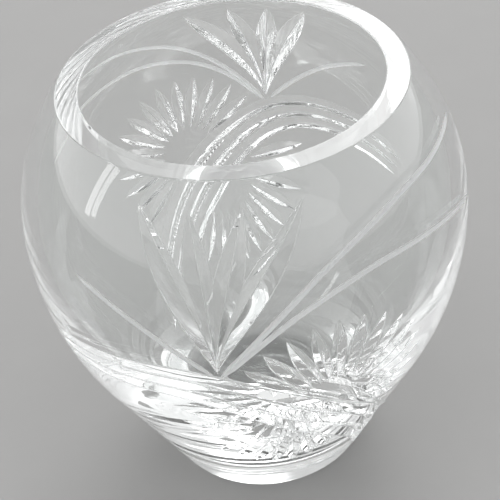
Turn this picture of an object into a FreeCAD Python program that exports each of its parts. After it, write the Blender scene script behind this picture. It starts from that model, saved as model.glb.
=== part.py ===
"""Rose bowl vase in clear cut crystal: one blown body with a wheel-cut pattern, in millimetres.

The vase stands on the origin with +Z up. Azimuth 0 faces -Y and grows towards +X.
"""
import FreeCAD, Part
import math
import os

os.makedirs("parts", exist_ok=True)

V = FreeCAD.Vector

# The blown shape: a ball for the shoulder and belly, a slightly conical band, a hip and a straight flank
vase_height = 170.0
rim_radius = 57.5
belly_radius = 78.4
band_lean = math.radians(7.0)
band_length = 12.0
foot_corner_radius = 40.0
foot_bevel = 6.0
wall = 5.7
base_share = 0.455
bowl_share = 0.77
rim_bevel = 1.0
foot_hollow_radius = 24.0
foot_hollow_depth = 1.6
foot_hollow_bevel = 3.0
overrun = 5.0

# The cutting wheel: a stone dressed to a V, and how far its V stands proud of the glass
wheel_half_angle = math.radians(57.5)
wheel_rise = 1.2
cut_end_lift = 0.25

# Two repeats of the pattern, each hung on the focus where its leaves and stems meet
repeats = 2
focus_height = 111.2
focus_azimuth = math.radians(-10.2)

# Fan of leaves: where each tip lies from the focus, across and up
leaf_tips_across = (-26.5, -6.9, 13.0, 35.8)
leaf_tip_rise = 50.0
leaf_root_gap = 2.2
leaf_depth = 2.9
leaf_curl_power = 1.6
leaf_fullness_power = 1.27
leaf_stations = 9

# Stems: points across and up from the focus, and the depth of the narrow cut
stem_depth = 0.68
stem_end_share = 0.16
left_stem_route = ((-1.6, 1.0), (-14.0, 10.0), (-25.0, 17.0), (-36.5, 22.2), (-50.5, 26.5))
upper_stem_route = (
    (1.6, 1.4), (8.5, 8.3), (17.6, 18.0), (27.0, 26.0), (38.0, 33.0),
    (51.0, 38.0), (70.0, 42.4), (90.0, 43.3), (108.0, 43.0), (127.0, 41.5),
)
lower_stem_route = (
    (2.2, 1.2), (8.0, 6.0), (17.0, 14.0), (27.0, 20.5), (41.0, 25.6),
    (53.0, 27.8), (65.0, 27.8), (80.0, 26.0), (97.5, 22.0), (115.0, 16.0),
)
stem_stations = 15

# Three sweeping arcs: the outer one's route, then the next ones beside it, wider apart to the right
arc_count = 3
outer_arc_route = (
    (-92.0, -20.0), (-75.0, -12.6), (-57.6, -7.4), (-41.0, -3.8), (-25.0, -1.4), (-13.0, -1.0),
    (0.0, -3.4), (9.0, -7.3), (18.5, -12.9), (28.0, -19.6), (39.0, -28.6), (54.0, -43.0),
    (68.5, -58.0), (84.0, -76.0),
)
arc_pitch_left = 4.2
arc_pitch_right = 7.6
arc_widened_share = 0.6
arc_widening_power = 1.5
arc_width_share = 0.86
arc_end_share = 0.14
arc_stations = 31

# Two half sunbursts of leaf-shaped petals, one on each side of the arcs
petal_pitch = math.radians(13.2)
upper_sun_centre = (38.0, -22.0)
upper_sun_start = math.radians(135.0)
upper_sun_petals = 14
upper_sun_inner = 14.0
upper_sun_outer = 36.5
lower_sun_centre = (24.1, -32.0)
lower_sun_start = math.radians(164.7)
lower_sun_petals = 11
lower_sun_inner = 14.5
lower_sun_outer = 42.0
petal_depth = 1.5
petal_stations = 7


# Worked out from the blown shape's sizes, from the rim down
belly_height = vase_height - math.sqrt(belly_radius ** 2 - rim_radius ** 2)
band_top = belly_height - belly_radius * math.sin(band_lean)
band_foot = band_top - band_length * math.cos(band_lean)
hip_radius = belly_radius - band_length * math.tan(band_lean)
hip_height = band_foot + hip_radius * math.sin(band_lean)
corner_to_hip = math.hypot(foot_corner_radius, hip_height)
flank_length = math.sqrt(corner_to_hip ** 2 - hip_radius ** 2)
flank_lean = math.asin(hip_radius / corner_to_hip) - math.atan2(foot_corner_radius, hip_height)
flank_top = flank_length * math.cos(flank_lean)

# Worked out for the bowl: a ball one wall inside the shoulder's, and a smaller ball for its rounded floor
shoulder_radius = belly_radius - wall
bowl_floor = base_share * (belly_height - shoulder_radius)
bowl_radius = bowl_share * shoulder_radius
bowl_height = bowl_floor + bowl_radius
side_lean = math.asin((shoulder_radius - bowl_radius) / (belly_height - bowl_height))


def outer_lean(z):
    """How far the outside leans from upright at a height, positive where it closes in upwards."""
    if z >= band_top:
        return math.asin((z - belly_height) / belly_radius)
    if z >= band_foot:
        return -band_lean
    if z >= flank_top:
        return math.asin((z - hip_height) / hip_radius)
    return -flank_lean


def outer_radius(z):
    """Radius of the outside of the glass at a height, above the foot's bevel."""
    if z >= band_top:
        return math.sqrt(belly_radius ** 2 - (z - belly_height) ** 2)
    if z >= band_foot:
        return belly_radius * math.cos(band_lean) - (band_top - z) * math.tan(band_lean)
    if z >= flank_top:
        return math.sqrt(hip_radius ** 2 - (z - hip_height) ** 2)
    return foot_corner_radius + z * math.tan(flank_lean)


def on_ball(centre_height, radius, lean):
    """Point of the outline on a ball about the vase's axis."""
    return V(radius * math.cos(lean), 0, centre_height + radius * math.sin(lean))


def ball_edge(centre_height, radius, low_lean, high_lean):
    """Arc of the outline along a ball about the vase's axis."""
    low = on_ball(centre_height, radius, low_lean)
    middle = on_ball(centre_height, radius, (low_lean + high_lean) / 2)
    high = on_ball(centre_height, radius, high_lean)
    return Part.Arc(low, middle, high).toShape()


def straight_edges(points):
    """Straight stretches of the outline from point to point."""
    return [Part.LineSegment(a, b).toShape() for a, b in zip(points, points[1:])]


def turned(edges):
    """Solid turned about the vase's axis from a closed outline."""
    wire = Part.Wire(Part.__sortEdges__(edges))
    return Part.Solid(Part.Face(wire).revolve(V(0, 0, 0), V(0, 0, 1), 360))


def lean_at(centre_height, radius, height):
    """How far a ball about the vase's axis leans from upright at a height."""
    return math.asin((height - centre_height) / radius)


def blown_outside():
    """The solid outer form, with a bevelled rim and foot and a shallow hollow ground underneath."""
    rim_lean = lean_at(belly_height, belly_radius, vase_height)
    rim_foot_lean = lean_at(belly_height, belly_radius, vase_height - rim_bevel * math.cos(rim_lean))
    foot_edge = foot_corner_radius + foot_bevel * math.sin(flank_lean)
    edges = [
        ball_edge(belly_height, belly_radius, -band_lean, rim_foot_lean),
        ball_edge(hip_height, hip_radius, -flank_lean, -band_lean),
    ]
    edges += straight_edges([
        on_ball(hip_height, hip_radius, -band_lean),
        on_ball(belly_height, belly_radius, -band_lean),
    ])
    edges += straight_edges([
        on_ball(belly_height, belly_radius, rim_foot_lean),
        V(rim_radius - rim_bevel, 0, vase_height),
        V(0, 0, vase_height),
        V(0, 0, foot_hollow_depth),
        V(foot_hollow_radius - foot_hollow_bevel, 0, foot_hollow_depth),
        V(foot_hollow_radius, 0, 0),
        V(foot_corner_radius - foot_bevel, 0, 0),
        V(foot_edge, 0, foot_bevel * math.cos(flank_lean)),
        on_ball(hip_height, hip_radius, -flank_lean),
    ])
    return turned(edges)


def blown_bowl():
    """The round-bottomed space inside the glass, which flares at the rim's bevel and runs out of the mouth."""
    mouth_lean = lean_at(belly_height, shoulder_radius, vase_height)
    mouth_radius = shoulder_radius * math.cos(mouth_lean) + rim_bevel
    mouth_foot_lean = lean_at(belly_height, shoulder_radius, vase_height - rim_bevel * math.cos(mouth_lean))
    edges = [
        ball_edge(belly_height, shoulder_radius, -side_lean, mouth_foot_lean),
        ball_edge(bowl_height, bowl_radius, -math.pi / 2, -side_lean),
    ]
    edges += straight_edges([
        on_ball(bowl_height, bowl_radius, -side_lean),
        on_ball(belly_height, shoulder_radius, -side_lean),
    ])
    edges += straight_edges([
        on_ball(belly_height, shoulder_radius, mouth_foot_lean),
        V(mouth_radius, 0, vase_height),
        V(mouth_radius, 0, vase_height + overrun),
        V(0, 0, vase_height + overrun),
        V(0, 0, bowl_floor),
    ])
    return turned(edges)


def on_glass(across, up, turn):
    """Point on the outside of the glass and the outward normal there."""
    azimuth = focus_azimuth + turn + across / belly_radius
    z = focus_height + up
    lean = outer_lean(z)
    outward = V(math.sin(azimuth), -math.cos(azimuth), 0)
    point = outward * outer_radius(z) + V(0, 0, z)
    normal = outward * math.cos(lean) + V(0, 0, math.sin(lean))
    return point, normal


def wheel_cut(route, depths, turn):
    """The glass that a V wheel takes out along a route, as deep at each station as the depths say."""
    places = [on_glass(across, up, turn) for across, up in route]
    sections = []
    last = len(places) - 1
    for i, (point, normal) in enumerate(places):
        along = places[min(i + 1, last)][0] - places[max(i - 1, 0)][0]
        side = normal.cross(along).normalize()
        half_width = (depths[i] + wheel_rise) * math.tan(wheel_half_angle)
        bottom = point - normal * depths[i]
        left = point + normal * wheel_rise + side * half_width
        right = point + normal * wheel_rise - side * half_width
        sections.append(Part.makePolygon([bottom, left, right, bottom]))
    return Part.makeLoft(sections, True, False)


def shares(count):
    """Even steps from nought to one."""
    return [i / (count - 1) for i in range(count)]


def leaf_shaped(share, depth):
    """Depth of a cut that runs in and out of the glass in one curved pass."""
    return (depth + cut_end_lift) * 4 * share * (1 - share) - cut_end_lift


def line_shaped(share, depth, end_share):
    """Depth of a long even cut that comes to a point over a share of its length at each end."""
    near_end = min(share, 1 - share, end_share) / end_share
    return (depth + cut_end_lift) * math.sin(near_end * math.pi / 2) - cut_end_lift


def smooth_route(points, count):
    """Stations along the smooth curve through a few points of the pattern."""
    curve = Part.BSplineCurve()
    curve.interpolate([V(across, up, 0) for across, up in points])
    stations = [curve.value(curve.parameterAtDistance(curve.length() * s)) for s in shares(count)]
    return [(station.x, station.y) for station in stations]


def leaf_cuts(turn):
    """The fan of four leaves above the focus."""
    cuts = []
    for tip_across in leaf_tips_across:
        reach = math.hypot(tip_across, leaf_tip_rise)
        steps = [(leaf_root_gap + (reach - leaf_root_gap) * s) / reach for s in shares(leaf_stations)]
        route = [(tip_across * s ** leaf_curl_power, leaf_tip_rise * s) for s in steps]
        depths = [leaf_shaped(s ** leaf_fullness_power, leaf_depth) for s in shares(leaf_stations)]
        cuts.append(wheel_cut(route, depths, turn))
    return cuts


def stem_cuts(turn):
    """The three narrow stems that sweep out of the focus."""
    depths = [line_shaped(s, stem_depth, stem_end_share) for s in shares(stem_stations)]
    routes = (left_stem_route, upper_stem_route, lower_stem_route)
    return [wheel_cut(smooth_route(route, stem_stations), depths, turn) for route in routes]


def arc_cuts(turn):
    """The three arcs that sweep under the focus and down the flank, side by side."""
    outer = smooth_route(outer_arc_route, arc_stations)
    widening = [min(1, s / arc_widened_share) ** arc_widening_power for s in shares(arc_stations)]
    half_pitches = [(arc_pitch_left + (arc_pitch_right - arc_pitch_left) * w) / 2 for w in widening]
    cuts = []
    for row in range(arc_count):
        route = []
        depths = []
        for i, share in enumerate(shares(arc_stations)):
            before = outer[max(i - 1, 0)]
            after = outer[min(i + 1, arc_stations - 1)]
            run = math.hypot(after[0] - before[0], after[1] - before[1])
            below = 2 * half_pitches[i] * row
            across = outer[i][0] + below * (after[1] - before[1]) / run
            up = outer[i][1] - below * (after[0] - before[0]) / run
            route.append((across, up))
            depth = half_pitches[i] * arc_width_share / math.tan(wheel_half_angle)
            depths.append(line_shaped(share, depth, arc_end_share))
        cuts.append(wheel_cut(route, depths, turn))
    return cuts


def sun_cuts(turn, centre, start, count, step, inner, outer):
    """Petals of a half sunburst, fanned about a centre of the pattern."""
    depths = [leaf_shaped(s, petal_depth) for s in shares(petal_stations)]
    cuts = []
    for petal in range(count):
        angle = start + petal * step
        reaches = [inner + (outer - inner) * s for s in shares(petal_stations)]
        route = [(centre[0] + r * math.cos(angle), centre[1] + r * math.sin(angle)) for r in reaches]
        cuts.append(wheel_cut(route, depths, turn))
    return cuts


def pattern_cuts(turn):
    """Every cut of one repeat of the pattern."""
    cuts = leaf_cuts(turn) + stem_cuts(turn) + arc_cuts(turn)
    cuts += sun_cuts(
        turn, upper_sun_centre, upper_sun_start, upper_sun_petals, -petal_pitch,
        upper_sun_inner, upper_sun_outer,
    )
    cuts += sun_cuts(
        turn, lower_sun_centre, lower_sun_start, lower_sun_petals, petal_pitch,
        lower_sun_inner, lower_sun_outer,
    )
    return cuts


def cut_vase():
    """The finished vase: the blank with both repeats of the pattern cut into it."""
    glass = blown_outside().cut(blown_bowl())
    for repeat in range(repeats):
        turn = repeat * 2 * math.pi / repeats
        glass = glass.cut(pattern_cuts(turn))
    return glass


vase_body = cut_vase().Solids[0]
vase_body.exportStep("parts/vase_body.step")
print("faces", len(vase_body.Faces), "valid", vase_body.isValid(), "volume", round(vase_body.Volume), "mm3")
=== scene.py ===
# %% [markdown]
# # A rose bowl vase in cut crystal
# A rose bowl is a round vase, wide at the belly and drawn in at the mouth. This one is a single
# thick piece of clear glass. It was blown and turned round first. Then a cutter held it against
# spinning wheels, which ground fans of leaves, long stems, sweeping arcs and sunbursts into its
# outside. The lesson follows the same order. The blown form is turned from an outline, the path
# of every wheel becomes a solid, and the solids are taken out of the glass one set after another.
# The finishes, the light and the floor come last.

# %% Tools and the shared frame
import math

import bpy
import numpy as np
from mathutils import Matrix, Vector


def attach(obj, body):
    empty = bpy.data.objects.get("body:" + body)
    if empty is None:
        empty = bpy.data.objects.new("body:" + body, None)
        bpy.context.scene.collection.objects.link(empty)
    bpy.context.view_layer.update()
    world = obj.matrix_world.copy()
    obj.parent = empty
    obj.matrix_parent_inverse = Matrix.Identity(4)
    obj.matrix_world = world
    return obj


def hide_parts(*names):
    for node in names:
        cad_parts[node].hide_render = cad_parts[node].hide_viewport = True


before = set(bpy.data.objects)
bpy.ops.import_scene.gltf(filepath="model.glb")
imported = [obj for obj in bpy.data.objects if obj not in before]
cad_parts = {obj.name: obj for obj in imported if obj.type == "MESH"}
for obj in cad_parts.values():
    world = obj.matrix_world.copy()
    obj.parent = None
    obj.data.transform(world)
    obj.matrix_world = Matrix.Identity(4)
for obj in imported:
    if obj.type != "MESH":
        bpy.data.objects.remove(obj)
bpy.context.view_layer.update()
MM = 0.001

# %% [markdown]
# ## Camera
# The photograph looks down into the mouth from about 41 degrees, with the camera rolled a little
# to the left. A camera can be turned with angles, or placed by its own three axes. Three axes are
# used here, because a roll about the line of sight is then a plain mix of the level axis and the
# upright one.

# %% Axes of the camera
ELEVATION = math.radians(40.956)
ROLL = math.radians(-6.08)
DISTANCE = 0.3860
AIM = np.array([0.0, 0.0, 0.0933])
LENS = 74.58
SENSOR = 36.0

towards_viewer = np.array([0.0, -math.cos(ELEVATION), math.sin(ELEVATION)])
upright = np.array([0.0, math.sin(ELEVATION), math.cos(ELEVATION)])
level = np.array([1.0, 0.0, 0.0])
picture_right = math.cos(ROLL) * level + math.sin(ROLL) * upright
picture_up = -math.sin(ROLL) * level + math.cos(ROLL) * upright
print("the picture's right-hand side points along", picture_right.round(3))

# %% Put the camera up
camera_place = np.eye(4)
camera_place[:3, 0] = picture_right
camera_place[:3, 1] = picture_up
camera_place[:3, 2] = towards_viewer
camera_place[:3, 3] = AIM + DISTANCE * towards_viewer

camera_data = bpy.data.cameras.new("camera")
camera_data.lens = LENS
camera_data.sensor_width = SENSOR
camera = bpy.data.objects.new("camera", camera_data)
bpy.context.scene.collection.objects.link(camera)
camera.matrix_world = Matrix(camera_place.tolist())
bpy.context.scene.camera = camera
print("the camera stands", DISTANCE, "m from the point it aims at")

# %% [markdown]
# ## The blown form
# On the real vase the outside is a few round curves that run into each other: a tight shoulder
# over the belly, a long slow curve below it, a straight flank and a rounded foot. The wall is
# even, and the base is a thick puddle of glass. A form like this could be modelled from a ball,
# or sculpted. Turning one outline is used instead, since it is how the glass was made round, and
# every curve then keeps its exact direction for the shading. All lengths are in millimetres.

# %% Measures of the form
HEIGHT = 170.0
RIM = 57.5
BELLY = 78.4
BELLY_HEIGHT = 115.5
LOWER_CURVE = 120.0
FOOT_CORNER = 39.5
FOOT_ROUND = 14.0
WALL = 5.7
BASE = 20.0
BOWL = 56.0
print("the vase is", HEIGHT, "mm high and", 2 * BELLY, "mm wide, with a rim", 2 * RIM, "mm across")


# %% Bends and straights of an outline
def bend(cx, cz, radius, start, end, step):
    """Points and outward directions along a bend; angles are from the level, in radians."""
    count = max(2, int(abs(end - start) * radius / step) + 1)
    angles = np.linspace(start, end, count)
    way = np.stack([np.cos(angles), np.sin(angles)], 1)
    return np.array([cx, cz]) + radius * way, way


def straight(a, b, way, step):
    """Points and outward directions along a straight."""
    count = max(2, int(math.dist(a, b) / step) + 1)
    share = np.linspace(0, 1, count)[:, None]
    return np.array(a) * (1 - share) + np.array(b) * share, np.repeat([way], count, 0)


trial_bend, _ = bend(0, 0, 10.0, 0, math.pi / 2, 1.0)
print("a bend of 10 mm over a right angle has", len(trial_bend), "points")

# %% [markdown]
# The shoulder is the one circle that is upright at the belly and passes through the rim. The
# lower curve is upright at the belly too. The flank is the line that leaves this curve smoothly
# and ends at the corner of the foot.

# %% Where the outside curves meet
rise = HEIGHT - BELLY_HEIGHT
shoulder_centre = (BELLY ** 2 - RIM ** 2 - rise ** 2) / (2 * (BELLY - RIM))
shoulder = BELLY - shoulder_centre
lower_centre = BELLY - LOWER_CURVE
to_corner = math.hypot(FOOT_CORNER - lower_centre, BELLY_HEIGHT)
corner_bearing = math.atan2(FOOT_CORNER - lower_centre, BELLY_HEIGHT)
flank_lean = math.asin(LOWER_CURVE / to_corner) - corner_bearing
flank_top = BELLY_HEIGHT - LOWER_CURVE * math.sin(flank_lean)
print("the shoulder curve is", round(shoulder, 1), "mm")
print("the flank leans", round(math.degrees(flank_lean), 1), "degrees")


# %% Radius and lean of the outside at a height
def outer_radius(z):
    """Radius of the outside at a height, without the roundings of rim and foot."""
    z = np.asarray(z, float)
    upper = shoulder_centre + np.sqrt(np.maximum(shoulder ** 2 - (z - BELLY_HEIGHT) ** 2, 0))
    lower = lower_centre + np.sqrt(np.maximum(LOWER_CURVE ** 2 - (z - BELLY_HEIGHT) ** 2, 0))
    flank = FOOT_CORNER + z * math.tan(flank_lean)
    return np.where(z >= BELLY_HEIGHT, upper, np.where(z >= flank_top, lower, flank))


def outer_lean(z):
    """How far the outside faces up from the level at a height, in radians."""
    z = np.asarray(z, float)
    upper = np.arcsin(np.clip((z - BELLY_HEIGHT) / shoulder, -1, 1))
    lower = np.arcsin(np.clip((z - BELLY_HEIGHT) / LOWER_CURVE, -1, 1))
    return np.where(z >= BELLY_HEIGHT, upper, np.where(z >= flank_top, lower, -flank_lean))


print("radius at the belly", float(outer_radius(BELLY_HEIGHT)))
print("radius at the foot", round(float(outer_radius(0)), 1))

# %% [markdown]
# ### Inside
# The bowl inside is a ball a wall's width inside the shoulder, then a cone, then a rounder
# bottom. A copy of the outside moved inwards would be simpler, but it would make the base as thin
# as the wall. The base of a heavy crystal vase is much thicker, so the inside gets curves of its
# own.

# %% Curves of the inside
ball_height = HEIGHT - math.sqrt(BELLY ** 2 - RIM ** 2)
inner = BELLY - WALL
bowl_height = BASE + BOWL
side_lean = math.asin((inner - BOWL) / (ball_height - bowl_height))
mouth = math.sqrt(inner ** 2 - (HEIGHT - ball_height) ** 2)
rim_lean = math.asin((HEIGHT - BELLY_HEIGHT) / shoulder)
mouth_lean = math.asin((HEIGHT - ball_height) / inner)
print("the mouth is", round(2 * mouth, 1), "mm across")
print("the flat of the rim is", round(RIM - mouth, 1), "mm wide before its edges are rounded")

# %% [markdown]
# ### Rim
# The rim was ground flat and polished. Its outer edge is broken with a small round, and its inner
# edge is almost sharp, which is why the rim shows as a broad even ring. A bevel modifier could
# round both edges. They are drawn into the outline instead, so that their size is exact.

# %% The rim
RIM_ROUND_OUT = 1.0
RIM_ROUND_IN = 0.4
RIM_STEP_OUT = 0.25
RIM_STEP_FLAT = 2.0
RIM_STEP_IN = 0.2


def rounded_rim():
    """Outline over the rim from the outside to the inside, with its first and last points."""
    back_out = RIM_ROUND_OUT * math.tan((math.pi / 2 - rim_lean) / 2)
    back_in = RIM_ROUND_IN * math.tan((math.pi / 2 + mouth_lean) / 2)
    out_centre = (RIM - back_out, HEIGHT - RIM_ROUND_OUT)
    in_centre = (mouth + back_in, HEIGHT - RIM_ROUND_IN)
    outer_edge = bend(*out_centre, RIM_ROUND_OUT, rim_lean, math.pi / 2, RIM_STEP_OUT)
    flat = straight((out_centre[0], HEIGHT), (in_centre[0], HEIGHT), (0, 1), RIM_STEP_FLAT)
    inner_turn = math.pi + mouth_lean
    inner_edge = bend(*in_centre, RIM_ROUND_IN, math.pi / 2, inner_turn, RIM_STEP_IN)
    return [outer_edge, flat, inner_edge], outer_edge[0][0], inner_edge[0][-1]


rim_parts, rim_start, rim_end = rounded_rim()
print("the rim starts at", rim_start.round(2), "and ends at", rim_end.round(2))

# %% [markdown]
# ### Foot
# The foot is rounded, and a shallow hollow under it leaves a narrow ring to stand on. The hollow
# could be taken out with a Boolean modifier, but it is round like the rest of the vase, so two
# more parts of the outline make it.

# %% The foot
HOLLOW = 20.0
HOLLOW_DEPTH = 1.6
HOLLOW_ROUND = 1.0
HOLLOW_TURN = -0.5
HOLLOW_STEP = 2.5
HOLLOW_ROUND_STEP = 0.3
FOOT_STEP = 0.8

foot_back = FOOT_ROUND * math.tan((math.pi / 2 - flank_lean) / 2)
foot_ring = FOOT_CORNER - foot_back
hollow_top = HOLLOW_DEPTH + HOLLOW_ROUND
foot_parts = [
    straight((0, HOLLOW_DEPTH), (HOLLOW, HOLLOW_DEPTH), (0, -1), HOLLOW_STEP),
    bend(HOLLOW, hollow_top, HOLLOW_ROUND, -math.pi / 2, HOLLOW_TURN, HOLLOW_ROUND_STEP),
    bend(foot_ring, FOOT_ROUND, FOOT_ROUND, -math.pi / 2, -flank_lean, FOOT_STEP),
]
print("the vase stands on a ring", round(2 * foot_ring, 1), "mm across")

# %% [markdown]
# ### The whole outside
# From the foot the outside runs up the flank, round the belly and over the shoulder to the rim.
# One spline through a few points would be shorter to write, but a chain of bends and straights
# keeps every measure and knows the direction of the surface at each point.

# %% The outside as a chain of bends and straights
OUTSIDE_STEP = 2.2

flank_foot = foot_parts[-1][0][-1]
flank_head = (lower_centre + LOWER_CURVE * math.cos(flank_lean), flank_top)
flank_way = (math.cos(flank_lean), -math.sin(flank_lean))
rim_turn = math.asin((rim_start[1] - BELLY_HEIGHT) / shoulder)
outside_parts = foot_parts + [
    straight(flank_foot, flank_head, flank_way, OUTSIDE_STEP),
    bend(lower_centre, BELLY_HEIGHT, LOWER_CURVE, -flank_lean, 0, OUTSIDE_STEP),
    bend(shoulder_centre, BELLY_HEIGHT, shoulder, 0, rim_turn, OUTSIDE_STEP),
] + rim_parts
print("bends and straights of the outside", len(outside_parts))

# %% [markdown]
# ### The eased inside
# Hot glass never changes its curve at once, and a sudden change would show as a kink in
# everything that is seen through it. The three inside shapes could be blended point by point, but
# that also shrinks them. Here the direction of the surface is worked out along the whole curve
# and eased where the shapes meet, and the points follow from it by adding up small steps. A round
# curve turns evenly, so easing leaves it as it is.

# %% Lengths of the three inside curves
mouth_turn = math.asin((rim_end[1] - ball_height) / inner)
ball_run = inner * (mouth_turn + side_lean)
cone_run = (inner - BOWL) / math.tan(side_lean)
bottom_run = BOWL * (math.pi / 2 - side_lean)
whole_run = ball_run + cone_run + bottom_run
inside_runs = [round(run, 1) for run in (ball_run, cone_run, bottom_run)]
print("the ball, the cone and the bottom run", inside_runs, "mm")

# %% Direction along the inside, eased where the curves meet
EASE = 8.0
EASE_REACH = 3 * EASE
FINE = 0.25

fine_steps = int(whole_run / FINE)
extra = int(EASE_REACH / FINE)
beyond = np.arange(-2 * extra, fine_steps + 2 * extra + 1) * whole_run / fine_steps
before, after = beyond[0], beyond[-1]
joints = [before, ball_run, ball_run + cone_run, after]
joint_turns = [mouth_turn - before / inner, -side_lean, -side_lean,
               -math.pi / 2 - (after - whole_run) / BOWL]
spread = np.exp(-0.5 * (np.arange(-extra, extra + 1) * FINE / EASE) ** 2)
eased = np.convolve(np.interp(beyond, joints, joint_turns), spread / spread.sum(), "same")
bowl_turn = eased[2 * extra:-2 * extra]
bowl_along = beyond[2 * extra:-2 * extra]
whole_turn = math.degrees(bowl_turn[0] - bowl_turn[-1])
print("the bowl turns", round(whole_turn), "degrees from the rim to the axis")

# %% Points of the inside
INSIDE_STEP = 2.5

bowl_way = np.stack([np.cos(bowl_turn), np.sin(bowl_turn)], 1)
downwards = np.stack([np.sin(bowl_turn), -np.cos(bowl_turn)], 1)
small_steps = (downwards[1:] + downwards[:-1]) / 2 * (whole_run / fine_steps)
bowl_points = rim_end + np.vstack([[0, 0], np.cumsum(small_steps, axis=0)])
missed = np.array([0, BASE]) - bowl_points[-1]
bowl_points += missed * (bowl_along / whole_run)[:, None]
even = np.linspace(0, whole_run, int(whole_run / INSIDE_STEP) + 1)
inside_points = np.stack([np.interp(even, bowl_along, bowl_points[:, i]) for i in (0, 1)], 1)
inside_ways = -np.stack([np.interp(even, bowl_along, bowl_way[:, i]) for i in (0, 1)], 1)
inside_ways /= np.linalg.norm(inside_ways, axis=1)[:, None]
print("adding up missed the base's centre by", np.round(missed, 2), "mm, which is shared out")

# %% [markdown]
# ### One outline
# Outside and inside meet at the rim's inner edge and share a point there. Doubled points would
# turn into faces without width, which upset the Boolean tool. They could be merged later, but
# dropping them here keeps each point together with its direction.

# %% Join outside and inside into one outline
SAME_POINT = 1e-6


def join(parts):
    """One run of points and directions from several, without doubled points."""
    points, ways = [], []
    for part_points, part_ways in parts:
        for point, way in zip(part_points, part_ways):
            if not points or math.dist(points[-1], point) > SAME_POINT:
                points.append(point)
                ways.append(way)
    return np.array(points, float), np.array(ways, float)


outline, outline_way = join(outside_parts + [(inside_points, inside_ways)])
outline[[0, -1], 0] = 0.0
print("the outline has", len(outline), "points")
print("its highest point is", round(float(outline[:, 1].max()), 3), "mm up")

# %% [markdown]
# ### Turning the outline
# Turning makes one ring of points for each point of the outline and closes the ends on the axis.
# A screw modifier does the same, but it can't keep the outline's own directions. The shading step
# at the end needs them, so the rings are written out here.

# %% Turn it about the vase's axis
COLUMNS = 232


def spin(azimuth):
    """Unit direction away from the axis; azimuth 0 faces the viewer and grows to the right."""
    return np.stack([np.sin(azimuth), -np.cos(azimuth)], -1)


def turned_glass():
    """Vertices and faces of the outline turned about the axis."""
    ring = spin(np.linspace(0, 2 * math.pi, COLUMNS, endpoint=False))
    body = outline[1:-1]
    vertices = np.zeros((len(body), COLUMNS, 3))
    vertices[:, :, :2] = body[:, None, :1] * ring[None]
    vertices[:, :, 2] = body[:, None, 1]
    ends = [[0, 0, outline[0][1]], [0, 0, outline[-1][1]]]
    vertices = np.vstack([vertices.reshape(-1, 3), ends])
    low, high = len(vertices) - 2, len(vertices) - 1
    last = (len(body) - 1) * COLUMNS
    faces = []
    for j in range(COLUMNS):
        k = (j + 1) % COLUMNS
        faces.append((low, k, j))
        for i in range(0, last, COLUMNS):
            faces.append((i + j, i + k, i + COLUMNS + k, i + COLUMNS + j))
        faces.append((last + j, last + k, high))
    return vertices, faces


blown_vertices, blown_faces = turned_glass()
print("the blown glass has", len(blown_faces), "faces")

# %% [markdown]
# ### Closed meshes
# The glass and the wheels that cut it are closed meshes. They are drawn in millimetres, as a
# maker would, and turned into metres when they are made. All their faces have to look outwards,
# or the Boolean tool takes away the wrong side. Edit mode can recalculate that, but the sign of
# the volume tells it in a few lines.

# %% Two helpers for closed meshes
def new_piece(name, vertices, faces):
    """A new object with the mesh, turned from millimetres into metres."""
    mesh = bpy.data.meshes.new(name)
    mesh.from_pydata((np.asarray(vertices) * MM).tolist(), [], faces)
    mesh.update()
    made = bpy.data.objects.new(name, mesh)
    bpy.context.scene.collection.objects.link(made)
    return made


def facing_out(vertices, faces):
    """The faces of a closed mesh, turned over when they look inwards."""
    total = 0.0
    for face in faces:
        a = vertices[face[0]]
        for i in range(1, len(face) - 1):
            total += np.dot(a, np.cross(vertices[face[i]], vertices[face[i + 1]]))
    return [tuple(reversed(face)) for face in faces] if total < 0 else faces


blown_faces = facing_out(blown_vertices, blown_faces)
print("the first face of the glass joins points", blown_faces[0])

# %% [markdown]
# ## The pattern sheet
# A cutter marks the pattern on the glass before cutting. It is easiest to draw flat, so every cut
# here is a route on a sheet: millimetres across and millimetres up from the focus, the point
# where leaves and stems meet. The sheet is then wrapped round the belly, across becoming azimuth
# and up becoming height. The pattern comes twice, half a turn apart, which shows in the
# photograph as the same fan near and far.

# %% Hang the sheet on the glass
REPEATS = 2
FOCUS_HEIGHT = 111.2
FOCUS_AZIMUTH = math.radians(-10.2)


def on_glass(route, turn):
    """Points on the outside of the glass along a route, and the outward directions there."""
    route = np.asarray(route, float)
    azimuth = FOCUS_AZIMUTH + turn + route[:, 0] / BELLY
    z = FOCUS_HEIGHT + route[:, 1]
    lean = outer_lean(z)
    ring = spin(azimuth)
    points = np.column_stack([ring * outer_radius(z)[:, None], z])
    ways = np.column_stack([ring * np.cos(lean)[:, None], np.sin(lean)])
    return points, ways


def proud_of(points):
    """How far points stand outside the blown skin, measured square to it."""
    radius = np.hypot(points[:, 0], points[:, 1])
    return (radius - outer_radius(points[:, 2])) * np.cos(outer_lean(points[:, 2]))


print("the focus is at", on_glass([(0, 0)], 0)[0][0].round(1))

# %% [markdown]
# Stems and arcs are drawn through a few points. A cubic spline gives the smooth line
# between them, and the stations along it are spaced evenly, so that the cut doesn't bunch up in
# the bends.

# %% Smooth lines through a few points
FINE_POINTS = 800


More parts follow.
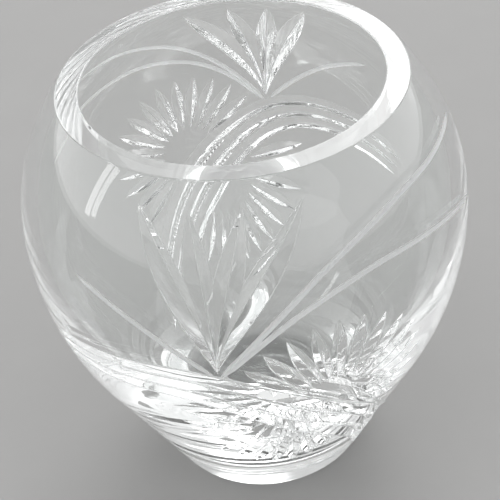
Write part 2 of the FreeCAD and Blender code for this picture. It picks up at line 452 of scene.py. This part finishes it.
def smooth(points, count):
    """Even stations along a smooth cubic curve through a few points."""
    points = np.asarray(points, float)
    knots = np.concatenate([[0], np.cumsum(np.linalg.norm(np.diff(points, axis=0), axis=1))])
    gaps = np.diff(knots)
    slopes = np.diff(points, axis=0) / gaps[:, None]
    n = len(points)
    system, right = np.eye(n), np.zeros((n, 2))
    for i in range(1, n - 1):
        system[i, i - 1:i + 2] = gaps[i - 1], 2 * (gaps[i - 1] + gaps[i]), gaps[i]
        right[i] = 6 * (slopes[i] - slopes[i - 1])
    curl = np.linalg.solve(system, right)

    t = np.linspace(0, knots[-1], FINE_POINTS)
    i = np.clip(np.searchsorted(knots, t) - 1, 0, n - 2)
    a, b, g = (t - knots[i])[:, None], (knots[i + 1] - t)[:, None], gaps[i][:, None]
    fine = curl[i] * b ** 3 / (6 * g) + curl[i + 1] * a ** 3 / (6 * g)
    fine += (points[i] / g - curl[i] * g / 6) * b + (points[i + 1] / g - curl[i + 1] * g / 6) * a

    length = np.concatenate([[0], np.cumsum(np.linalg.norm(np.diff(fine, axis=0), axis=1))])
    even = np.linspace(0, length[-1], count)
    return np.column_stack([np.interp(even, length, fine[:, i]) for i in (0, 1)])


print("a curve through three points", smooth([(0, 0), (5, 2), (10, 0)], 5).round(2).tolist())

# %% [markdown]
# ## The wheel
# A cutting wheel has a V-shaped edge, so it leaves a groove with two polished walls, a slightly
# rounded bottom and softened edges. How deep it is pressed sets how wide the groove is: a leaf
# widens as the wheel sinks in, and comes to a point where it leaves the glass. A groove could be
# faked with a bump texture, but crystal bends light by its real shape, so the walls have to be
# there. Each wheel becomes a closed solid swept along its route, with its depth changing on the
# way.

# %% Depths along a cut
END_LIFT = 0.25


def leaf_depth(share, depth):
    """Depth of a cut that runs in and out of the glass in one curved pass."""
    return (depth + END_LIFT) * 4 * share * (1 - share) - END_LIFT


def line_depth(route, depth, end_length):
    """Depth of a long even cut that comes to a point at each end."""
    share = np.linspace(0, 1, len(route))
    end_share = end_length / np.linalg.norm(np.diff(route, axis=0), axis=1).sum()
    near_end = np.minimum(np.minimum(share, 1 - share), end_share) / end_share
    return (depth + END_LIFT) * np.sin(near_end * math.pi / 2) - END_LIFT


print("a leaf 2 mm deep has depths", leaf_depth(np.linspace(0, 1, 5), 2.0).round(2).tolist())

# %% [markdown]
# The section of the wheel is drawn from the bottom up on both sides: a small round at the tip,
# the straight wall, and a round edge that runs out almost level with the skin. The wall's length
# has to be found at every station, because the skin curves away from the groove. Halving a range
# thirty times finds it to far less than a hair's width.

# %% Shape of the wheel's edge
HALF_ANGLE = math.radians(57.5)
WALL_SLOPE = math.pi / 2 - HALF_ANGLE
TIP_ROUND = 0.5
TIP_STEPS = (0.25, 0.5, 0.75, 1.0)
EDGE_ROUND = 1.0
EDGE_SLOPE = math.radians(7)
EDGE_STEPS = 4
EDGE_FLARE = 1.6
LEAST_SOFT = 0.12
LONGEST_WALL = 14.0
HALVINGS = 30
PROUD = 1.2
print("the wheel's walls open to", round(2 * math.degrees(HALF_ANGLE)), "degrees")


# %% One side of the groove
def wall_length(foot, wall_way, wanted):
    """Distance along the wall at which it stands as high against the skin as wanted."""
    low, high = np.zeros(len(foot)), np.full(len(foot), LONGEST_WALL)
    for _ in range(HALVINGS):
        middle = (low + high) / 2
        above = proud_of(foot + wall_way * middle[:, None]) > wanted
        high = np.where(above, middle, high)
        low = np.where(above, low, middle)
    return middle[:, None]


def groove_side(points, ways, out, depths, soft):
    """Columns of points from the groove's bottom to above the skin, on one side."""
    tip, edge = TIP_ROUND * soft, EDGE_ROUND * soft
    columns = []
    for turned in TIP_STEPS:
        angle = WALL_SLOPE * turned
        across = tip * math.sin(angle)
        up = tip * (1 - math.cos(angle)) - depths
        columns.append(points + out * across[:, None] + ways * up[:, None])
    wall_way = out * math.cos(WALL_SLOPE) + ways * math.sin(WALL_SLOPE)
    wanted = -edge * (1 - math.cos(WALL_SLOPE))
    place = columns[-1] + wall_way * wall_length(columns[-1], wall_way, wanted)
    columns.append(place)
    slopes = np.linspace(WALL_SLOPE, EDGE_SLOPE, EDGE_STEPS)
    for before, after in zip(slopes, slopes[1:]):
        mean, length = (before + after) / 2, edge * (before - after)
        place = place + out * (length * math.cos(mean))[:, None]
        place = place + ways * (length * math.sin(mean))[:, None]
        columns.append(place)
    flare = soft[:, None] * EDGE_FLARE
    place = place + out * math.cos(EDGE_SLOPE) * flare + ways * math.sin(EDGE_SLOPE) * flare
    return columns + [place, place + ways * PROUD]


print("points on one side of the section", len(TIP_STEPS) + 1 + (EDGE_STEPS - 1) + 2)

# %% [markdown]
# The strips at the bottom and at both edges are marked as they are made. On the real vase these
# fine lines have lost their polish over the years and catch the light, so they get a finish of
# their own later.

# %% The whole wheel as a closed solid
EDGE_STRIPS = (3, 4, 15, 16)
BOTTOM_STRIPS = (8, 9, 10, 11)
FINE_LINES = EDGE_STRIPS + BOTTOM_STRIPS


def wheel(route, depths, turn):
    """Closed solid that a wheel sweeps along a route, and which of its faces are fine lines."""
    points, ways = on_glass(route, turn)
    depths = np.asarray(depths, float)
    soft = np.clip(depths, LEAST_SOFT, 1.0)
    side = np.cross(ways, np.gradient(points, axis=0))
    side /= np.linalg.norm(side, axis=1)[:, None]
    right = groove_side(points, ways, side, depths, soft)
    left = groove_side(points, ways, -side, depths, soft)
    bottom = points - ways * depths[:, None]
    vertices = np.stack(right[::-1] + [bottom] + left, 1)
    count = vertices.shape[1]
    vertices = vertices.reshape(-1, 3)
    faces, lines = [tuple(range(count))], [False]
    end = len(vertices) - count
    for i in range(0, end, count):
        for a in range(count):
            b = (a + 1) % count
            faces.append((i + b, i + a, i + count + a, i + count + b))
            lines.append(a in FINE_LINES)
    faces.append(tuple(range(end + count - 1, end - 1, -1)))
    lines.append(False)
    return vertices, facing_out(vertices, faces), lines


trial_route = np.column_stack([np.linspace(0, 10, 5), np.zeros(5)])
_, trial_faces, _ = wheel(trial_route, leaf_depth(np.linspace(0, 1, 5), 1.0), 0)
print("a trial wheel has", len(trial_faces), "faces")

# %% [markdown]
# ## Leaves
# Four leaves fan out of the focus and reach up the shoulder, nearly to the rim. Each is one pass
# of the wheel, deepest a little past its middle, so it is slender at the root and full towards
# its tip. The outer leaves bow a little. Their shape needs no outline of its own: it comes from
# how the depth changes along the route.

# %% Routes of the leaves
LEAF_TIPS = (-26.5, -6.9, 13.0, 35.8)
LEAF_RISE = 53.0
LEAF_ROOT = -2.2
LEAF_BOW = 1.6
LEAF_DEPTH = 2.9
LEAF_FULLNESS = 1.27
LEAF_STATIONS = 21


def leaf_cuts():
    """The fan of four leaves."""
    share = np.linspace(0, 1, LEAF_STATIONS)
    cuts = []
    for tip in LEAF_TIPS:
        reach = math.hypot(tip, LEAF_RISE)
        steps = (LEAF_ROOT + (reach - LEAF_ROOT) * share) / reach
        route = np.column_stack([tip * np.maximum(steps, 0) ** LEAF_BOW, LEAF_RISE * steps])
        cuts.append((route, leaf_depth(share ** LEAF_FULLNESS, LEAF_DEPTH)))
    return cuts


leaves = leaf_cuts()
print("leaves in one fan", len(leaves))

# %% [markdown]
# ## Stems
# Three stems leave the same focus: a short one to the left, and two long ones that swing far
# round to the right. They are shallow cuts of even width. A straight line between two points
# would be quicker to write, but a cutter's stem is one easy curve, so each gets a few points read
# off the photograph, in millimetres, and the spline above joins them.

# %% Routes of the stems
STEMS = (
    ((0.6, -2.2), (-14.0, 10.0), (-25.0, 17.0), (-36.5, 22.2), (-50.5, 26.5)),
    ((-0.4, -2.4), (8.5, 8.3), (17.6, 18.0), (27.0, 26.0), (38.0, 33.0), (51.0, 38.0), (70.0, 42.4),
     (90.0, 43.3), (108.0, 43.0), (127.0, 41.5)),
    ((0.2, -2.6), (8.0, 6.0), (17.0, 14.0), (27.0, 20.5), (41.0, 25.6), (53.0, 27.8), (65.0, 27.8),
     (80.0, 26.0), (97.5, 22.0), (115.0, 16.0)),
)
STEM_STATIONS = 64
STEM_DEPTH = 0.55
STEM_END = 9.0

stem_routes = [smooth(stem, STEM_STATIONS) for stem in STEMS]
stems = [(route, line_depth(route, STEM_DEPTH, STEM_END)) for route in stem_routes]
stem_width = 2 * STEM_DEPTH * math.tan(HALF_ANGLE)
print("stems", len(stems), "and the width of each", round(stem_width, 1), "mm")

# %% [markdown]
# ## Arcs
# Three deep arcs sweep side by side over the belly, under the focus and down to the foot on the
# right. The space between them grows along the way, and their depth grows with it, so that each
# groove nearly touches the next. Only the outer arc is drawn. The other two follow it at a
# distance, which keeps the three in step as the cutter's guide lines did.

# %% Routes of the arcs
OUTER_ARC = ((-70.5, -11.3), (-57.6, -7.4), (-41.0, -3.8), (-25.0, -1.4), (-13.0, -1.0),
             (0.0, -3.4), (9.0, -7.3), (18.5, -12.9), (28.0, -19.6), (39.0, -28.6),
             (54.0, -43.0), (68.5, -58.0), (84.0, -76.0), (94.0, -89.0))
ARC_STATIONS = 96
ARC_ROWS = 3
ARC_SPACE = 4.2
ARC_WIDENING = 3.4
ARC_WIDE_FROM = 0.584
ARC_WIDEN_POWER = 1.5
ARC_FILL = 0.86
ARC_END = 12.0

outer_arc = smooth(OUTER_ARC, ARC_STATIONS)
arc_way = np.gradient(outer_arc, axis=0)
arc_way /= np.linalg.norm(arc_way, axis=1)[:, None]
below = np.column_stack([arc_way[:, 1], -arc_way[:, 0]])
arc_share = np.linspace(0, 1, ARC_STATIONS)
widening = ARC_WIDENING * np.minimum(1, arc_share / ARC_WIDE_FROM) ** ARC_WIDEN_POWER
half_space = (ARC_SPACE + widening) / 2
arc_routes = [outer_arc + below * (2 * half_space * row)[:, None] for row in range(ARC_ROWS)]
arc_depth = half_space * ARC_FILL / math.tan(HALF_ANGLE)
arcs = [(route, line_depth(route, arc_depth, ARC_END)) for route in arc_routes]
print("the arcs start", round(float(2 * half_space[0]), 1), "mm apart")
print("they end", round(float(2 * half_space[-1]), 1), "mm apart")

# %% [markdown]
# ## Notches
# A row of small nicks runs along the inner edge of the first two arcs, like the teeth of a saw.
# Each is a short cut of the wheel across the edge. They are spaced by their distance along the
# arc, as a cutter would step them off.

# %% Routes of the notches
NOTCHED_ARCS = 2
NOTCH_PITCH = 2.15
NOTCH_FIRST = 0.49
NOTCH_LAST = 0.93
NOTCH_START = 0.45
NOTCH_DEPTH = 0.9
NOTCH_STATIONS = 5


def notch_cuts():
    """Short cross cuts on the inner edge of the first arcs."""
    share = np.linspace(0, 1, NOTCH_STATIONS)
    cuts = []
    for route in arc_routes[:NOTCHED_ARCS]:
        length = np.concatenate([[0], np.cumsum(np.linalg.norm(np.diff(route, axis=0), axis=1))])
        first, last = np.interp([NOTCH_FIRST, NOTCH_LAST], arc_share, length)
        for distance in np.arange(first, last, NOTCH_PITCH):
            i = int(np.searchsorted(length, distance))
            start = route[i] + below[i] * half_space[i] * NOTCH_START
            across = start + below[i] * (share * half_space[i])[:, None]
            cuts.append((across, leaf_depth(share, NOTCH_DEPTH)))
    return cuts


notches = notch_cuts()
print("notches", len(notches), "at a pitch of", NOTCH_PITCH, "mm")

# %% [markdown]
# ## Sunbursts
# Above the arcs a half sunburst of petals opens upwards, and below them a second one opens
# downwards. The petals of a burst are equal cuts that point at one centre and leave a plain disc
# in the middle, so a loop that turns one petal about the centre makes them all.

# %% Petals of the two sunbursts
PETAL_STEP = math.radians(13.2)
PETAL_DEPTH = 1.65
PETAL_STATIONS = 13


def petal_cuts(centre, first_angle, count, step, inner_reach, outer_reach):
    """Petals of a half sunburst about a centre."""
    share = np.linspace(0, 1, PETAL_STATIONS)
    reach = (inner_reach + (outer_reach - inner_reach) * share)[:, None]
    cuts = []
    for petal in range(count):
        angle = first_angle + petal * step
        route = np.array(centre) + reach * np.array([math.cos(angle), math.sin(angle)])
        cuts.append((route, leaf_depth(share, PETAL_DEPTH)))
    return cuts


upper_petals = petal_cuts(centre=(37.0, -22.5), first_angle=math.radians(140.0), count=14,
                          step=-PETAL_STEP, inner_reach=11.4, outer_reach=38.8)
lower_petals = petal_cuts(centre=(24.1, -32.0), first_angle=math.radians(164.7), count=11,
                          step=PETAL_STEP, inner_reach=14.5, outer_reach=42.0)
print("petals above the arcs", len(upper_petals), "and below them", len(lower_petals))

# %% [markdown]
# ## Order of the cuts
# The cuts cross each other, and the later one wins. The Boolean tool needs solids that don't
# overlap inside one set, so neighbours go into different rounds: every leaf, arc and stem is a
# round of its own, and petals and notches are split into odd and even ones.

# %% Rounds of cutting
BLOWN, POLISHED, SATIN, WORN = range(4)
rounds = [([leaf], POLISHED) for leaf in leaves]
rounds += [([each_arc], POLISHED) for each_arc in arcs]
rounds += [([stem], SATIN) for stem in stems]
rounds += [(upper_petals[first::2] + lower_petals[first::2], POLISHED) for first in (0, 1)]
rounds += [(notches[first::2], POLISHED) for first in (0, 1)]
print("rounds", len(rounds), "with", sum(len(cuts) for cuts, _ in rounds), "cuts in one repeat")

# %% [markdown]
# ## Clear crystal
# Lead crystal is clear, heavy and bends light strongly, which is what makes the cuts sparkle. The
# blown skin was fire-polished and has a faint waviness, and the cuts were polished on felt and
# are a touch less smooth. A plain glass shader with one number for everything would look like
# plastic. Here a soft noise moves the roughness and the surface a little, and the fixed values
# sit on the shader itself.

# %% Crystal with a living surface
CRYSTAL_TINT = (0.98, 0.992, 0.988, 1)
CRYSTAL_INDEX = 1.54
NOISE_LOW, NOISE_HIGH = 0.35, 0.7
NOISE_DETAIL = 3.0
WAVE_HEIGHT = 0.0004


def crystal(name, smoothest, roughest, wave, grain):
    """Clear crystal whose roughness and skin vary a little over the surface."""
    material = bpy.data.materials.new(name)
    material.use_nodes = True
    nodes, links = material.node_tree.nodes, material.node_tree.links
    shader = nodes["Principled BSDF"]
    shader.inputs["Base Color"].default_value = CRYSTAL_TINT
    shader.inputs["Transmission Weight"].default_value = 1.0
    shader.inputs["IOR"].default_value = CRYSTAL_INDEX
    where = nodes.new("ShaderNodeTexCoord")
    unevenness = nodes.new("ShaderNodeTexNoise")
    unevenness.inputs["Scale"].default_value = grain
    unevenness.inputs["Detail"].default_value = NOISE_DETAIL
    gloss = nodes.new("ShaderNodeMapRange")
    gloss.inputs["From Min"].default_value = NOISE_LOW
    gloss.inputs["From Max"].default_value = NOISE_HIGH
    gloss.inputs["To Min"].default_value = smoothest
    gloss.inputs["To Max"].default_value = roughest
    waviness = nodes.new("ShaderNodeBump")
    waviness.inputs["Strength"].default_value = wave
    waviness.inputs["Distance"].default_value = WAVE_HEIGHT
    links.new(where.outputs["Object"], unevenness.inputs["Vector"])
    links.new(unevenness.outputs["Fac"], gloss.inputs["Value"])
    links.new(gloss.outputs["Result"], shader.inputs["Roughness"])
    links.new(unevenness.outputs["Fac"], waviness.inputs["Height"])
    links.new(waviness.outputs["Normal"], shader.inputs["Normal"])
    return material


blown_crystal = crystal("blown_crystal", smoothest=0.0, roughest=0.012, wave=0.10, grain=40.0)
polished_cut = crystal("polished_cut", smoothest=0.0, roughest=0.03, wave=0.05, grain=160.0)
print("finishes", blown_crystal.name, "and", polished_cut.name)

# %% [markdown]
# ## Satin stems and worn lines
# The stems were left as the stone wheel ground them. Ground glass is white, because its rough
# surface throws light in every direction, out of the glass and into it. A very rough glass shader
# alone stays grey, so it is mixed with a white that scatters forwards and one that scatters
# backwards. The worn lines along the cuts use the same mix with much more clear glass in it.

# %% Ground glass
GROUND_WHITE = (0.96, 0.97, 0.97, 1)
GROUND_WAVE = 0.25
GROUND_GRAIN = 900.0
BLOOM_GRAIN = 500.0
FORWARD_SHARE = 0.5


def satin(name, least_clear, most_clear, smoothest, roughest):
    """Ground crystal: rough glass under a white bloom that scatters light both ways."""
    material = crystal(name, smoothest, roughest, GROUND_WAVE, GROUND_GRAIN)
    nodes, links = material.node_tree.nodes, material.node_tree.links
    back_white = nodes.new("ShaderNodeBsdfDiffuse")
    back_white.inputs["Color"].default_value = GROUND_WHITE
    through_white = nodes.new("ShaderNodeBsdfTranslucent")
    through_white.inputs["Color"].default_value = GROUND_WHITE
    white = nodes.new("ShaderNodeMixShader")
    white.inputs["Fac"].default_value = FORWARD_SHARE
    bloom = nodes.new("ShaderNodeTexNoise")
    bloom.inputs["Scale"].default_value = BLOOM_GRAIN
    clear = nodes.new("ShaderNodeMapRange")
    clear.inputs["To Min"].default_value = least_clear
    clear.inputs["To Max"].default_value = most_clear
    ground = nodes.new("ShaderNodeMixShader")
    links.new(nodes["Texture Coordinate"].outputs["Object"], bloom.inputs["Vector"])
    links.new(bloom.outputs["Fac"], clear.inputs["Value"])
    links.new(back_white.outputs["BSDF"], white.inputs[1])
    links.new(through_white.outputs["BSDF"], white.inputs[2])
    links.new(clear.outputs["Result"], ground.inputs["Fac"])
    links.new(white.outputs["Shader"], ground.inputs[1])
    links.new(nodes["Principled BSDF"].outputs["BSDF"], ground.inputs[2])
    links.new(ground.outputs["Shader"], nodes["Material Output"].inputs["Surface"])
    return material


satin_cut = satin("satin_cut", least_clear=0.02, most_clear=0.22, smoothest=0.40, roughest=0.55)
worn_line = satin("worn_line", least_clear=0.40, most_clear=0.75, smoothest=0.08, roughest=0.16)
finishes = [blown_crystal, polished_cut, satin_cut, worn_line]
print("finishes of the vase", [finish.name for finish in finishes])

# %% [markdown]
# ## Cutting
# The blown glass becomes an object with all four finishes in its slots. For each round the wheels
# of both repeats go into one mesh, and a Boolean modifier takes it out of the glass. The manifold
# solver is used: it is quick, exact enough for closed solids, and the new faces keep the finish
# of the wheel that made them.

# %% The uncut vase
glass = new_piece("rose_bowl", blown_vertices, blown_faces)
for finish in finishes:
    glass.data.materials.append(finish)
print("uncut vase", [round(v, 4) for v in glass.dimensions], "metres")


# %% The wheels of one round
def wheels_mesh(cuts, finish):
    """One object with the wheels of a round, in every repeat, and their finishes."""
    vertices, faces, kinds = [], [], []
    for repeat in range(REPEATS):
        for route, depths in cuts:
            solid, solid_faces, lines = wheel(route, depths, repeat * 2 * math.pi / REPEATS)
            faces += [tuple(i + len(vertices) for i in face) for face in solid_faces]
            vertices += solid.tolist()
            kinds += [WORN if line and finish == POLISHED else finish for line in lines]
    wheels = new_piece("wheels", vertices, faces)
    for each in finishes:
        wheels.data.materials.append(each)
    wheels.data.polygons.foreach_set("material_index", kinds)
    return wheels


print("cuts in the first round", len(rounds[0][0]), "in each of", REPEATS, "repeats")


# %% Take the wheels out
def take_out(wheels):
    """Takes the wheels out of the glass and clears them away."""
    cut = glass.modifiers.new("cut", "BOOLEAN")
    cut.operation = "DIFFERENCE"
    cut.solver = "MANIFOLD"
    cut.object = wheels
    bpy.context.view_layer.update()
    cut_glass = glass.evaluated_get(bpy.context.evaluated_depsgraph_get())
    made = bpy.data.meshes.new_from_object(cut_glass)
    glass.modifiers.remove(cut)
    old, glass.data = glass.data, made
    bpy.data.meshes.remove(old)
    bpy.data.objects.remove(wheels)


for cuts, finish in rounds:
    take_out(wheels_mesh(cuts, finish))
kinds = np.zeros(len(glass.data.polygons), int)
glass.data.polygons.foreach_get("material_index", kinds)
for finish, count in zip(finishes, np.bincount(kinds)):
    print("faces of", finish.name, count)

# %% [markdown]
# ## Shading directions
# Glass shows every flat facet of its mesh, so the shading directions matter more here than on a
# dull surface. The blown skin gets the true direction of its curve, read back from the outline.
# In a cut, faces that meet at less than a small angle share one direction, so a groove is smooth
# along its length and stays crisp at its bottom and edges.

# %% Directions of the blown skin
AT_A_TIME = 4000


def skin_ways(points):
    """Outward direction of the blown outline at points given by radius and height."""
    a, b = outline[:-1], outline[1:]
    ab = b - a
    ways = np.zeros((len(points), 2))
    for first in range(0, len(points), AT_A_TIME):
        p = points[first:first + AT_A_TIME]
        share = np.clip(((p[:, None] - a) * ab).sum(2) / (ab ** 2).sum(1), 0, 1)
        off = ((a + ab * share[..., None] - p[:, None]) ** 2).sum(2)
        best = off.argmin(1)
        s = share[np.arange(len(p)), best][:, None]
        way = outline_way[best] * (1 - s) + outline_way[best + 1] * s
        ways[first:first + AT_A_TIME] = way / np.linalg.norm(way, axis=1)[:, None]
    return ways


print("direction at the belly", skin_ways(np.array([[BELLY, BELLY_HEIGHT]])).round(2).tolist())


# %% Read a mesh into arrays
def read(items, name, width, kind=float):
    """One value or vector per item of a mesh, as an array."""
    values = np.zeros(len(items) * width, kind)
    items.foreach_get(name, values)
    return values.reshape(-1, width) if width > 1 else values


print("corners in the cut vase", len(read(glass.data.loops, "vertex_index", 1, int)))

# %% Directions of the blown skin at points in space
NO_RADIUS = 1e-9


def skin_normals(place):
    """Outward directions of the blown skin at points given in millimetres."""
    radius = np.hypot(place[:, 0], place[:, 1])
    ways = skin_ways(np.column_stack([radius, place[:, 2]]))
    round_way = place[:, :2] / np.maximum(radius, NO_RADIUS)[:, None]
    return np.column_stack([round_way * ways[:, :1], ways[:, 1:]])


front_of_belly = np.array([[0, -BELLY, BELLY_HEIGHT]])
print("the front of the belly faces", skin_normals(front_of_belly).round(2).tolist())

# %% Shade the vase
SAME_WALL = math.cos(math.radians(24))
NO_LENGTH = 1e-12


def shade(mesh):
    """Sets the mesh's own shading directions."""
    corner = read(mesh.loops, "vertex_index", 1, int)
    flat = read(mesh.polygons, "normal", 3)
    area = read(mesh.polygons, "area", 1)
    kind = read(mesh.polygons, "material_index", 1, int)
    corners_of_each = read(mesh.polygons, "loop_total", 1, int)
    owner = np.repeat(np.arange(len(mesh.polygons)), corners_of_each)
    place = read(mesh.vertices, "co", 3) / MM
    normals = skin_normals(place)[corner]

    cut = kind[owner] != BLOWN
    order = np.argsort(corner[cut], kind="stable")
    loops = np.nonzero(cut)[0][order]
    weight = flat[owner] * area[owner][:, None]
    for group in np.split(loops, np.nonzero(np.diff(corner[loops]))[0] + 1):
        around = flat[owner[group]]
        normals[group] = (around @ around.T > SAME_WALL) @ weight[group]

    length = np.linalg.norm(normals, axis=1)
    normals[length < NO_LENGTH] = flat[owner][length < NO_LENGTH]
    normals /= np.maximum(np.linalg.norm(normals, axis=1), NO_LENGTH)[:, None]
    mesh.polygons.foreach_set("use_smooth", [True] * len(mesh.polygons))
    mesh.normals_split_custom_set(normals.tolist())


shade(glass.data)
print("shaded", len(glass.data.polygons), "faces")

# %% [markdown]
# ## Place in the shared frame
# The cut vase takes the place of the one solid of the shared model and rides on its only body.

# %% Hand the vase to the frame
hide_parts("vase_body")
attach(glass, "root")
print("the vase replaces vase_body")

# %% [markdown]
# ## Floor
# The vase stands on a plain pale floor that runs on far behind it. One big square is enough. Its
# matte grey has a faint unevenness, so that it reads as a surface, and it takes the soft shadow
# under the vase.

# %% The floor
FLOOR_REACH = 30000.0
FLOOR_GREY = (0.37, 0.367, 0.363)
FLOOR_UNEVEN = 0.02
FLOOR_GRAIN = 30.0
MATTE_ROUGHNESS = 0.7
MATTE_SHEEN = 0.1


def matte(name, colour, grain, uneven):
    """Matte colour with a faint unevenness."""
    material = bpy.data.materials.new(name)
    material.use_nodes = True
    nodes, links = material.node_tree.nodes, material.node_tree.links
    shader = nodes["Principled BSDF"]
    shader.inputs["Roughness"].default_value = MATTE_ROUGHNESS
    shader.inputs["Specular IOR Level"].default_value = MATTE_SHEEN
    where = nodes.new("ShaderNodeTexCoord")
    cloud = nodes.new("ShaderNodeTexNoise")
    cloud.inputs["Scale"].default_value = grain
    blend = nodes.new("ShaderNodeMix")
    blend.data_type = "RGBA"
    blend.inputs["A"].default_value = (*[c * (1 - uneven) for c in colour], 1)
    blend.inputs["B"].default_value = (*[c * (1 + uneven) for c in colour], 1)
    links.new(where.outputs["Object"], cloud.inputs["Vector"])
    links.new(cloud.outputs["Fac"], blend.inputs["Factor"])
    links.new(blend.outputs["Result"], shader.inputs["Base Color"])
    return material


floor_corners = [(-1, -1, 0), (1, -1, 0), (1, 1, 0), (-1, 1, 0)]
floor = new_piece("floor", FLOOR_REACH * np.array(floor_corners), [(0, 1, 2, 3)])
floor.data.materials.append(matte("floor_grey", FLOOR_GREY, FLOOR_GRAIN, FLOOR_UNEVEN))
print("the floor reaches", FLOOR_REACH * MM, "m each way")

# %% [markdown]
# ## Light
# Cut crystal needs something bright to bend. The sky is a soft white studio: white at the
# horizon, a little greyer overhead, and brighter towards the two sides, which draws bright edges
# down the vase. A large soft window glows behind it on the right, at the angle where the flat of
# the rim mirrors it into the camera and turns white. Area lamps could do all this, but their hard
# borders show up in the glass as cut-out shapes. The sky fades out softly.

# %% The studio sky
HORIZON = (1.0, 1.0, 1.0, 1)
ZENITH = (0.90, 0.903, 0.906, 1)

world = bpy.data.worlds.new("studio_sky")
bpy.context.scene.world = world
world.use_nodes = True
sky, sky_links = world.node_tree.nodes, world.node_tree.links
looking = sky.new("ShaderNodeTexCoord")
split = sky.new("ShaderNodeSeparateXYZ")
upwards = sky.new("ShaderNodeValToRGB")
upwards.color_ramp.elements[0].color = HORIZON
upwards.color_ramp.elements[1].color = ZENITH
sky_links.new(looking.outputs["Generated"], split.inputs["Vector"])
sky_links.new(split.outputs["Z"], upwards.inputs["Fac"])
sky_links.new(upwards.outputs["Color"], sky["Background"].inputs["Color"])
print("the sky is", ZENITH[:3], "overhead")

# %% Side walls and window in the sky
SIDE_FROM = 0.2
FRONT_WALLS = 0.9
SIDE_WALLS = 1.4
WINDOW_WAY = Vector((0.30, 1.15, 1.05)).normalized()
WINDOW_EDGE = math.radians(22)
WINDOW_HEART = math.radians(7)
WINDOW_GLOW = 4.8

aside = sky.new("ShaderNodeMath")
aside.operation = "ABSOLUTE"
walls = sky.new("ShaderNodeMapRange")
walls.inputs["From Min"].default_value = SIDE_FROM
walls.inputs["To Min"].default_value = FRONT_WALLS
walls.inputs["To Max"].default_value = SIDE_WALLS
towards_window = sky.new("ShaderNodeVectorMath")
towards_window.operation = "DOT_PRODUCT"
towards_window.inputs[1].default_value = WINDOW_WAY
window = sky.new("ShaderNodeMapRange")
window.interpolation_type = "SMOOTHSTEP"
window.inputs["From Min"].default_value = math.cos(WINDOW_EDGE)
window.inputs["From Max"].default_value = math.cos(WINDOW_HEART)
window.inputs["To Max"].default_value = WINDOW_GLOW
together = sky.new("ShaderNodeMath")
together.operation = "ADD"
sky_links.new(split.outputs["X"], aside.inputs[0])
sky_links.new(aside.outputs["Value"], walls.inputs["Value"])
sky_links.new(looking.outputs["Generated"], towards_window.inputs[0])
sky_links.new(towards_window.outputs["Value"], window.inputs["Value"])
sky_links.new(walls.outputs["Result"], together.inputs[0])
sky_links.new(window.outputs["Result"], together.inputs[1])
sky_links.new(together.outputs["Value"], sky["Background"].inputs["Strength"])
print("the window stands", round(math.degrees(math.asin(WINDOW_WAY.z))), "degrees up")

# %% [markdown]
# One narrow lamp at the left gives the upright highlight on the shoulder that the photograph
# shows there.

# %% A narrow lamp at the left
LAMP_PLACE = (-1.3, -0.15, 0.55)
LAMP_AIM = (0.0, 0.0, 0.08)
LAMP_WIDTH = 0.08
LAMP_HEIGHT = 0.6
LAMP_WATTS = 0.7

lamp_data = bpy.data.lights.new("side_lamp", "AREA")
lamp_data.shape = "RECTANGLE"
lamp_data.size = LAMP_WIDTH
lamp_data.size_y = LAMP_HEIGHT
lamp_data.energy = LAMP_WATTS
side_lamp = bpy.data.objects.new("side_lamp", lamp_data)
bpy.context.scene.collection.objects.link(side_lamp)
side_lamp.location = LAMP_PLACE
lamp_way = Vector(LAMP_AIM) - Vector(LAMP_PLACE)
side_lamp.rotation_euler = lamp_way.to_track_quat("-Z", "Y").to_euler()
print("the side lamp stands", round(lamp_way.length, 2), "m away and gives", LAMP_WATTS, "watts")

# %% [markdown]
# ## Light paths and how colours are shown
# Light that enters thick cut glass is thrown about many times before it leaves. With the usual
# few bounces it is given up on the way and leaves black patches, so the limits are raised. The
# colours are shown as they are, without a film look.

# %% Let light find its way out
BOUNCES = 96
MIRROR_BOUNCES = 64

bpy.context.scene.view_settings.view_transform = "Standard"
cycles = bpy.context.scene.cycles
cycles.max_bounces = BOUNCES
cycles.transmission_bounces = BOUNCES
cycles.glossy_bounces = MIRROR_BOUNCES
print("light may bounce", BOUNCES, "times")
